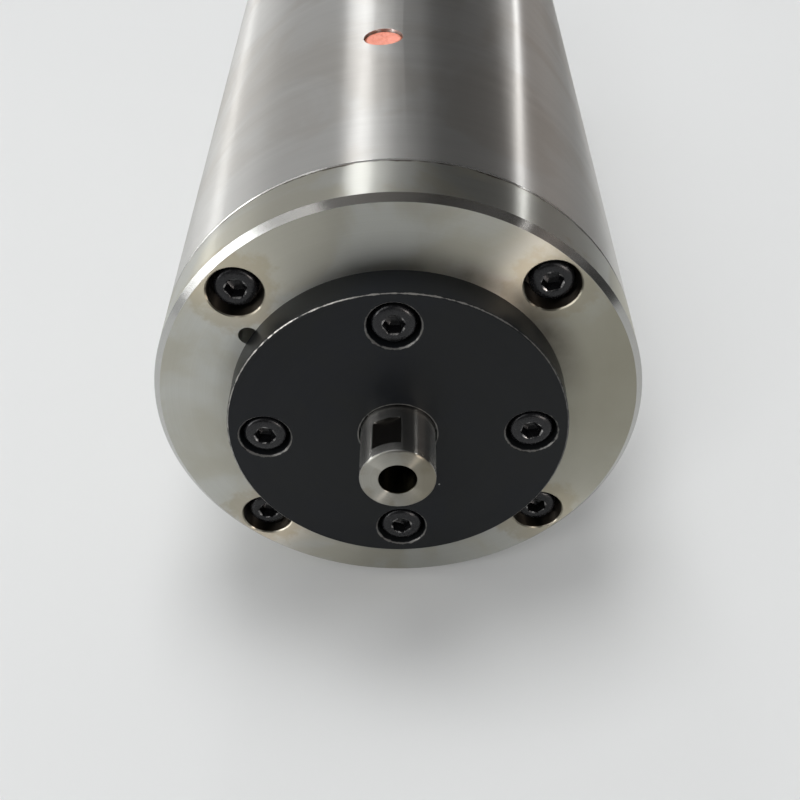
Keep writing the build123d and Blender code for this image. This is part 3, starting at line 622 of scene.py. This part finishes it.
dust = use(tree, specks, Spacing=5.0, Size=0.2, Share=0.35)["Mask"]
haze = use(tree, stains, Size=18.0, Cover=0.5)["Mask"]
black = tint(tree, marks["Shade"], (0.008, 0.009, 0.0105), (0.017, 0.0185, 0.0215))
black = tint(tree, product(tree, haze, 0.4), black, (0.014, 0.015, 0.014))
black = tint(tree, product(tree, dust, 0.6), black, (0.5, 0.5, 0.48))
rough = between(tree, marks["Shade"], 0.3, 0.4)
feed(tree, shader, marks["Height"], 0.004, Metallic=bare,
     Base_Color=tint(tree, bare, black, (0.62, 0.60, 0.56)),
     Roughness=calc(tree, "SUBTRACT", rough, product(tree, bare, 0.22)))
dress(black_cap, "nose_cap")

# ---------------------------------------------------------------------------------------------
# Socket head cap screws, M4, black oxide: four hold the cap, four the flange and four the rear
# cover. Heads are knurled and rounded over the top, with a hexagon socket rubbed by the key.
# ---------------------------------------------------------------------------------------------
HEAD_R, HEAD_HEIGHT, SHANK_R = 3.5, 4.0, 2.0
SOCKET_HALF, SOCKET_DEPTH = 1.5, 2.2
KNURLS, KNURL_DEPTH = 36, 0.08
SCREW_PITCH, THREAD_FROM, THREAD_TO = 0.7, 4.8, 30.0
KEY_ANGLE, KEY_STEP = 17, 71
# The top of the head from the socket's mouth out over its crown: depth, radius and wear.
CROWN = [(0.03, 1.80, 1), (0.0, 1.90, 0.6), (0.0, 2.02, 0), (0.0, 2.35, 0), (0.015, 2.5, 0.2),
         (0.07, 2.78, 0.45), (0.17, 3.05, 0.7), (0.31, 3.27, 0.75), (0.48, 3.4, 0.4)]


def hexagon(half):
    """Radius rule of a hexagon from half its size across flats."""
    sixth = math.pi / 3
    return lambda angle: half / math.cos((angle + sixth / 2) % sixth - sixth / 2)


def knurled(radius, ridges, depth):
    """Radius rule of a straight knurl."""
    return lambda angle: radius - depth * (0.5 - 0.5 * math.cos(ridges * angle))


def thread_group():
    """Height of a screw thread of a pitch round Y, between two stations."""
    tree, given, out = start_group("thread", {"Pitch": 0.7, "From": 0.0, "To": 10.0}, ["Height"])
    x, y, z = axes(tree, spot(tree))
    lead = calc(tree, "DIVIDE", calc(tree, "ARCTAN2", z, x), 2 * math.pi)
    turns = calc(tree, "ADD", calc(tree, "DIVIDE", y, given["Pitch"]), lead)
    height = product(tree, calc(tree, "PINGPONG", turns, 0.5),
                     calc(tree, "GREATER_THAN", y, given["From"]),
                     calc(tree, "LESS_THAN", y, given["To"]))
    tree.links.new(height, out.inputs["Height"])
    return tree


def screw_mesh(name, length):
    """One screw along Y with the top of its head at 0."""
    side, socket = knurled(HEAD_R - 0.01, KNURLS, KNURL_DEPTH), hexagon(SOCKET_HALF)
    rings = [(SOCKET_DEPTH + 0.35, 0, 0), (SOCKET_DEPTH, hexagon(SOCKET_HALF * 0.93), 0),
             (SOCKET_DEPTH - 0.1, socket, 0), (0.22, socket, 0.3),
             (0.12, hexagon(SOCKET_HALF + 0.04), 1), *CROWN, (0.66, side, 0.1),
             (HEAD_HEIGHT - 0.3, side, 0), (HEAD_HEIGHT - 0.15, HEAD_R - 0.14, 0.3),
             (HEAD_HEIGHT, HEAD_R - 0.3, 0), (HEAD_HEIGHT, SHANK_R, 0),
             (length - 0.5, SHANK_R, 0), (length, SHANK_R - 0.4, 0.4), (length, 0, 0)]
    return turned(name, rings, 4 * KNURLS)


thread = thread_group()
black_screw, tree, shader = finish("oiled_black_screw", 0.35, 0.3, Specular_IOR_Level=0.45)
place = spot(tree)
spotty = grain(tree, place, 0.9, 4.0, 0.65)
bare = rise(tree, product(tree, worn_edges(tree), spotty), 0.46, 0.66)
rolled = use(tree, thread, Pitch=SCREW_PITCH, From=THREAD_FROM, To=THREAD_TO)["Height"]
height = calc(tree, "ADD", product(tree, rolled, 10.0),
              product(tree, grain(tree, place, 4.0), 0.25))
black = tint(tree, spotty, (0.006, 0.006, 0.007), (0.017, 0.017, 0.019))
feed(tree, shader, height, 0.04, Metallic=between(tree, bare, 0.3, 1.0),
     Base_Color=tint(tree, bare, black, (0.42, 0.41, 0.40)),
     Roughness=between(tree, spotty, 0.17, 0.36))
# Name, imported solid, length, screw circle, first angle, station of the head's top, backwards.
SCREW_SETS = (("cap_screw", "cap_screws", 13.7, CAP_SCREW_CIRCLE, 0, -5.7, False),
              ("flange_screw", "flange_screws", 17.5, SCREW_CIRCLE, SCREW_ANGLE, 1.0, False),
              ("rear_cover_screw", "rear_cover_screws", 23.0, SCREW_CIRCLE, SCREW_ANGLE, 189.0,
               True))
for label, solid, length, circle, first, top, backwards in SCREW_SETS:
    mesh = screw_mesh(label, length)
    facing = Matrix.Rotation(math.pi, 4, "Z") if backwards else Matrix.Identity(4)
    for i in range(4):
        angle = math.radians(first + 90 * i)
        keyed = Matrix.Rotation(math.radians(KEY_ANGLE + KEY_STEP * i), 4, "Y")
        piece(f"{label}_{i + 1}", mesh, black_screw, "black_oxide_screw", "housing", solid,
              place=(circle * math.cos(angle), top, circle * math.sin(angle)), turn=facing @ keyed)

# ---------------------------------------------------------------------------------------------
# Power connector: a nickel-plated round socket, threaded M16 for its plug, with a key inside.
# Four gilt pins stand in a black insert, and a hexagon nut holds it in the rear cover.
# ---------------------------------------------------------------------------------------------
COVER_FACE = 190.0
SHELL_R, SHELL_BORE, SHELL_TAIL, SHELL_END = 8.0, 6.5, 180.4, 200.5
COLLAR_R, COLLAR_WIDTH = 10.5, 2.5
SHELL_PITCH, SHELL_THREAD, SHELL_THREAD_RINGS = 1.0, 0.5, 58
INSERT_FACE = 191.55
KEY_HEIGHT, KEY_HALF_ANGLE = 0.75, 0.12
PIN_R, PIN_FOOT, PIN_TIP, PIN_CIRCLE, PIN_ANGLE = 1.0, 178.9, 196.0, 3.6, 45


def helix(radius, pitch, depth, y):
    """Radius rule of one ring through a thread at station y."""
    return lambda angle: radius - depth * abs(((y / pitch + angle / (2 * math.pi)) % 1) * 2 - 1)


def keyed_bore(angle):
    """Radius of the socket's bore with the key that the plug's groove slides over."""
    on_key = abs(angle - math.pi / 2) < KEY_HALF_ANGLE
    return SHELL_BORE - KEY_HEIGHT if on_key else SHELL_BORE


nickel, tree, shader = finish("nickel_plate", 1.0, 0.22)
place = spot(tree)
cloud = grain(tree, place, 0.25, 4.0)
brassy = rise(tree, product(tree, worn_edges(tree), grain(tree, place, 1.3, 3.0)), 0.42, 0.7)
plated = tint(tree, cloud, (0.60, 0.58, 0.54), (0.75, 0.73, 0.69))
feed(tree, shader, grain(tree, place, 2.0), 0.008,
     Base_Color=tint(tree, brassy, plated, (0.72, 0.52, 0.26)),
     Roughness=between(tree, cloud, 0.16, 0.32))
thread_start = COVER_FACE + COLLAR_WIDTH + 0.1
thread_rings = [thread_start + SHELL_PITCH / 8 * i for i in range(SHELL_THREAD_RINGS)]
shell_rings = [(SHELL_TAIL, SHELL_BORE, 0), (SHELL_TAIL, SHELL_R - 0.3, 0.5),
               (SHELL_TAIL + 0.3, SHELL_R, 0.5), (COVER_FACE, SHELL_R, 0)]
shell_rings += eased((COVER_FACE, SHELL_R, 0), (COVER_FACE, COLLAR_R, 0.1),
                     (COVER_FACE + COLLAR_WIDTH, COLLAR_R, 0.5),
                     (COVER_FACE + COLLAR_WIDTH, SHELL_R - 0.3, 0))
shell_rings += [(y, helix(SHELL_R, SHELL_PITCH, SHELL_THREAD, y), 0.0) for y in thread_rings]
shell_rings += [(SHELL_END - 0.4, SHELL_R - 0.45, 0), (SHELL_END, SHELL_R - 0.75, 0.6),
                (SHELL_END, SHELL_BORE + 0.2, 0.6), (SHELL_END - 0.2, SHELL_BORE, 0.3),
                (SHELL_END - 0.8, SHELL_BORE, 0), (SHELL_END - 0.8, keyed_bore, 0.4),
                (INSERT_FACE, keyed_bore, 0), (INSERT_FACE, SHELL_BORE, 0)]
piece("connector_socket", turned("connector_socket", shell_rings, 144, closed=True), nickel,
      "connector_metal", "housing", "connector_shell")
dress(nickel, "connector_nut")

moulding, tree, shader = finish("black_moulding", 0.0, 0.5)
skin = grain(tree, spot(tree), 2.5, 3.0)
feed(tree, shader, skin, 0.02,
     Base_Color=tint(tree, skin, (0.016, 0.016, 0.017), (0.035, 0.035, 0.036)),
     Roughness=between(tree, skin, 0.42, 0.6))
dress(moulding, "connector_insert")

gilt, tree, shader = finish("gilt_pin", 1.0, 0.2)
rub = grain(tree, spot(tree), 1.5, 3.0)
feed(tree, shader, rub, 0.005,
     Base_Color=tint(tree, rub, (0.72, 0.52, 0.22), (0.90, 0.70, 0.36)),
     Roughness=between(tree, rub, 0.14, 0.3))
pin_rings = [(PIN_FOOT, 0, 0)] + eased(
    (PIN_FOOT, POLE_R, 0), (PIN_FOOT, PIN_R, 0.2), (PIN_TIP, PIN_R, 0.7), (PIN_TIP, POLE_R, 0)
) + [(PIN_TIP, 0, 0)]
pin_mesh = turned("connector_pin", pin_rings, 32)
for i in range(4):
    angle = math.radians(PIN_ANGLE + 90 * i)
    piece(f"connector_pin_{i + 1}", pin_mesh, gilt, "connector_brass", "housing", "connector_pins",
          place=(PIN_CIRCLE * math.cos(angle), 0, PIN_CIRCLE * math.sin(angle)))

# ---------------------------------------------------------------------------------------------
# Water fittings: nickel-plated brass push-in fittings with a hexagon for the wrench. A plastic
# collet grips the hose, and slides in by a fraction of a millimetre to let it go.
# ---------------------------------------------------------------------------------------------
PORT_OFFSET = 24
HEX_HALF, HEX_ROUND_R, HEX_TOP = 7.0, 8.08, 195.0
HEX_FOOT_R, HEX_RIM_R = 7.35, 7.25
BARREL_R, FITTING_TOP = 6.5, 204.0
STEM_R, STEM_BORE, STEM_END = 4.5, 2.0, 183.0
HOSE_R, HOSE_STOP, COLLET_SEAT = 3.05, 193.0, 197.15
GROOVES, GROOVE_START, GROOVE_STEP, GROOVE_DEPTH = 3, 197.6, 1.3, 0.22
BARREL_ROUNDED_FROM = 201.5
COLLET_R, COLLET_FOOT = 4.45, 198.0
BUTTON_R, BUTTON_FOOT, BUTTON_TOP = 5.25, 205.0, 206.0


def hexagon_cut(half, round_r):
    """Radius rule of a hexagon with its corners turned off at a radius."""
    across = hexagon(half)
    return lambda angle: min(across(angle), round_r)


hex_side = hexagon_cut(HEX_HALF, HEX_ROUND_R)
fitting_rings = [(STEM_END, STEM_BORE, 0), (STEM_END, STEM_R - 0.3, 0.5),
                 (STEM_END + 0.3, STEM_R, 0.5), (COVER_FACE, STEM_R, 0),
                 (COVER_FACE, hexagon_cut(HEX_HALF, HEX_FOOT_R), 0.4),
                 (COVER_FACE + 0.35, hex_side, 0.3), (HEX_TOP - 0.45, hex_side, 0.5),
                 (HEX_TOP, hexagon_cut(HEX_HALF, HEX_RIM_R), 0.6), (HEX_TOP, BARREL_R - 0.5, 0),
                 (HEX_TOP + 0.5, BARREL_R - 0.5, 0), (HEX_TOP + 0.5, BARREL_R - 0.15, 0),
                 (HEX_TOP + 0.65, BARREL_R, 0.3)]
for groove in range(GROOVES):
    y = GROOVE_START + GROOVE_STEP * groove
    fitting_rings += [(y, BARREL_R, 0.4), (y + 0.1, BARREL_R - GROOVE_DEPTH, 0),
                      (y + 0.4, BARREL_R - GROOVE_DEPTH, 0), (y + 0.5, BARREL_R, 0.4)]
fitting_rings += eased(
    (BARREL_ROUNDED_FROM, BARREL_R, 0), (FITTING_TOP, BARREL_R, 0.6),
    (FITTING_TOP, STEM_R, 0.15), (COLLET_SEAT, STEM_R, 0), (COLLET_SEAT, HOSE_R, 0),
    (HOSE_STOP, HOSE_R, 0), (HOSE_STOP, STEM_BORE, 0))
fitting_mesh = turned("water_fitting", fitting_rings, 144, closed=True)

collet_plastic, tree, shader = finish("collet_plastic", 0.0, 0.38)
skin = grain(tree, spot(tree), 1.8, 3.0)
blue = tint(tree, skin, (0.025, 0.075, 0.24), (0.045, 0.12, 0.34))
scuffed = product(tree, worn_edges(tree), skin)
feed(tree, shader, skin, 0.02, Base_Color=tint(tree, scuffed, blue, (0.16, 0.26, 0.48)),
     Roughness=between(tree, skin, 0.3, 0.46))
collet_rings = eased(
    (COLLET_FOOT, HOSE_R, 0), (COLLET_FOOT, COLLET_R, 0.2), (BUTTON_FOOT, COLLET_R, 0.1),
    (BUTTON_FOOT, BUTTON_R, 0.25), (BUTTON_TOP, BUTTON_R, 0.35), (BUTTON_TOP, HOSE_R, 0.3),
    (COLLET_FOOT, HOSE_R, 0))
collet_mesh = turned("release_collet", collet_rings, 96, closed=True)
for port, side in (("inlet", 1), ("outlet", -1)):
    middle = (PORT_OFFSET * side, 0, 0)
    piece(f"{port}_push_fitting", fitting_mesh, nickel, "fitting_brass", "housing",
          f"{port}_fitting", place=middle)
    piece(f"{port}_release_collet", collet_mesh, collet_plastic, "collet_plastic",
          f"{port}_release", f"{port}_collet", place=middle)

# ---------------------------------------------------------------------------------------------
# Bench and light: the spindle lies on a smooth pale table, lit from above, behind and the
# front. The other lamps only show in metal, as broad windows at the left, narrow streaks and
# small glints. Metal mirrors the pale room darker on the right and towards the front.
# ---------------------------------------------------------------------------------------------
TABLE_HEIGHT, TABLE_R = -BODY_R * MM, 4.0
TABLE_GLOW = 0.07
FADE_FROM, FADE_TO = 400.0, 1100.0
ROOM_LIGHT, BACKDROP, FRONT_DARK = 0.39, 0.80, 0.03
# What metal mirrors round the axis: degrees from straight up, right positive, and brightness.
ROLL_SHADES = ((-180, 0.7), (-100, 0.64), (-84, 0.5), (-50, 0.45), (-34, 0.5), (-14, 0.68),
               (-3, 0.52), (8, 0.33), (18, 0.1), (34, 0.07), (62, 0.05), (104, 0.05),
               (130, 0.3), (180, 0.7))

table_top = bmesh.new()
bmesh.ops.create_circle(table_top, cap_ends=True, segments=96, radius=TABLE_R,
                        matrix=Matrix.Translation((0, 0, TABLE_HEIGHT)))
table_mesh = bpy.data.meshes.new("table")
table_top.to_mesh(table_mesh)
table_top.free()
table = bpy.data.objects.new("table", table_mesh)
bpy.context.scene.collection.objects.link(table)
table_paint, tree, shader = finish("table_top", 0.0, 0.5, Specular_IOR_Level=0.0)
place = spot(tree)
cloud = grain(tree, place, 0.004, 3.0)
path = node(tree, "ShaderNodeLightPath").outputs
looked_at = calc(tree, "MAXIMUM", path["Is Camera Ray"], calc(
    tree, "MAXIMUM", path["Is Glossy Ray"], path["Is Transmission Ray"]))
feed(tree, shader, Base_Color=tint(tree, cloud, (0.71, 0.72, 0.72), (0.74, 0.75, 0.75)),
     Roughness=between(tree, cloud, 0.45, 0.6),
     Emission_Color=tint(tree, looked_at, (0, 0, 0), (TABLE_GLOW,) * 3))
shader.inputs["Emission Strength"].default_value = 1.0
table_mesh.materials.append(table_paint)
clear = node(tree, "ShaderNodeBsdfTransparent").outputs[0]
from_middle = node(tree, "ShaderNodeVectorMath", {0: place}, operation="LENGTH").outputs["Value"]
unseen = calc(tree, "MAXIMUM", rise(tree, from_middle, FADE_FROM, FADE_TO, smooth=True),
              node(tree, "ShaderNodeNewGeometry").outputs["Backfacing"])
seen = node(tree, "ShaderNodeMixShader", {0: unseen, 1: shader.outputs[0], 2: clear})
tree.links.new(seen.outputs[0], tree.nodes["Material Output"].inputs["Surface"])

room = bpy.data.worlds.new("room")
bpy.context.scene.world = room
room.use_nodes = True
room.cycles.sampling_method = "NONE"
tree = room.node_tree
x, y, z = axes(tree, node(tree, "ShaderNodeTexCoord").outputs["Generated"])
roll = calc(tree, "ADD", calc(tree, "DIVIDE", calc(tree, "ARCTAN2", x, z), 2 * math.pi), 0.5)
shades = node(tree, "ShaderNodeValToRGB", {0: roll})
stops = shades.color_ramp.elements
for degrees, shade in ROLL_SHADES[1:-1]:
    stops.new(degrees / 360 + 0.5).color = (shade, shade, shade, 1)
for stop, shade in ((stops[0], ROLL_SHADES[0][1]), (stops[-1], ROLL_SHADES[-1][1])):
    stop.color = (shade, shade, shade, 1)
path = node(tree, "ShaderNodeLightPath").outputs
ahead = rise(tree, y, -0.3, -0.65, smooth=True)
mirrored = tint(tree, product(tree, ahead, 0.85), shades.outputs[0], (FRONT_DARK,) * 3)
backdrop = tint(tree, path["Is Camera Ray"], (ROOM_LIGHT,) * 3, (BACKDROP,) * 3)
tree.links.new(tint(tree, path["Is Glossy Ray"], backdrop, mirrored),
               tree.nodes["Background"].inputs["Color"])


def soft_lamp(name, place, width, height, radiance, lean=0, target=(0, 0, 0), mirrored=True,
              lights=False, colour=(1, 1, 1)):
    """A soft box, itself unseen, turned to a target. Metal mirrors it where it is mirrored,
    and it lights dull surfaces where it lights."""
    lamp = bpy.data.lights.new(name, "AREA")
    lamp.shape, lamp.size, lamp.size_y = "RECTANGLE", width, height
    lamp.energy = radiance * math.pi * width * height
    lamp.color = colour
    made = bpy.data.objects.new(name, lamp)
    bpy.context.scene.collection.objects.link(made)
    aim = (Vector(place) - Vector(target)).to_track_quat("Z", "Y").to_matrix().to_4x4()
    made.matrix_world = (Matrix.Translation(place) @ aim
                         @ Matrix.Rotation(math.radians(lean), 4, "Z"))
    made.visible_camera = False
    made.visible_glossy = mirrored
    made.visible_diffuse = lights


soft_lamp("overhead_lamp", (-0.08, 0.24, 1.0), 0.5, 0.5, 6.8, target=(0, 0.04, 0),
          mirrored=False, lights=True)
soft_lamp("back_window", (-0.28, 1.62, 0.76), 0.18, 0.9, 4.5, lean=-8, lights=True)
soft_lamp("left_window", (-1.0, -0.56, 0.33), 0.5, 0.72, 4.6)
soft_lamp("strip_lamp", (0.85, 1.90, 0.16), 0.015, 0.36, 66.0, lean=40)
soft_lamp("side_strip", (0.90, 0.0, 0.79), 0.04, 0.4, 17.0, lean=90)
soft_lamp("front_glint", (0.62, -0.63, 0.05), 0.06, 0.1, 12.0)
soft_lamp("left_upper_window", (-0.66, -0.76, 0.74), 0.3, 0.45, 3.0, lean=-33)
soft_lamp("left_strip", (-1.05, 0.12, 0.33), 0.4, 0.05, 12.0)
soft_lamp("left_low_window", (-1.0, -0.69, 0.03), 0.14, 0.2, 10.0)
soft_lamp("top_glint", (-0.08, 0.45, 0.89), 0.08, 0.08, 9.0)
soft_lamp("right_front_window", (0.53, -0.85, 0.06), 0.15, 0.16, 28.0, colour=(1.0, 0.9, 0.84))
soft_lamp("right_front_soft", (0.38, -0.93, 0.38), 0.4, 0.4, 1.4)
soft_lamp("front_fill", (-0.5, -0.9, 0.85), 0.5, 0.5, 4.0, mirrored=False, lights=True)

# ---------------------------------------------------------------------------------------------
# Camera: close in front of the nose and above it, looking down and back along the body.
# ---------------------------------------------------------------------------------------------
CAMERA_PLACE = (0.004145, -0.144549, 0.123472)
CAMERA_PAN, CAMERA_TILT, CAMERA_ROLL = 1.6142, 47.6333, -2.1765
camera = bpy.data.objects.new("camera", bpy.data.cameras.new("camera"))
bpy.context.scene.collection.objects.link(camera)
camera.data.sensor_width = 36
camera.data.lens = 51.838
camera.data.shift_y = 0.06
camera.data.clip_start, camera.data.clip_end = 0.01, 20
aim = Matrix.Translation(CAMERA_PLACE)
for degrees, axis in ((CAMERA_PAN, "Z"), (CAMERA_TILT, "X"), (CAMERA_ROLL, "Z")):
    aim = aim @ Matrix.Rotation(math.radians(degrees), 4, axis)
camera.matrix_world = aim
bpy.context.scene.camera = camera
bpy.context.scene.view_settings.view_transform = "Standard"
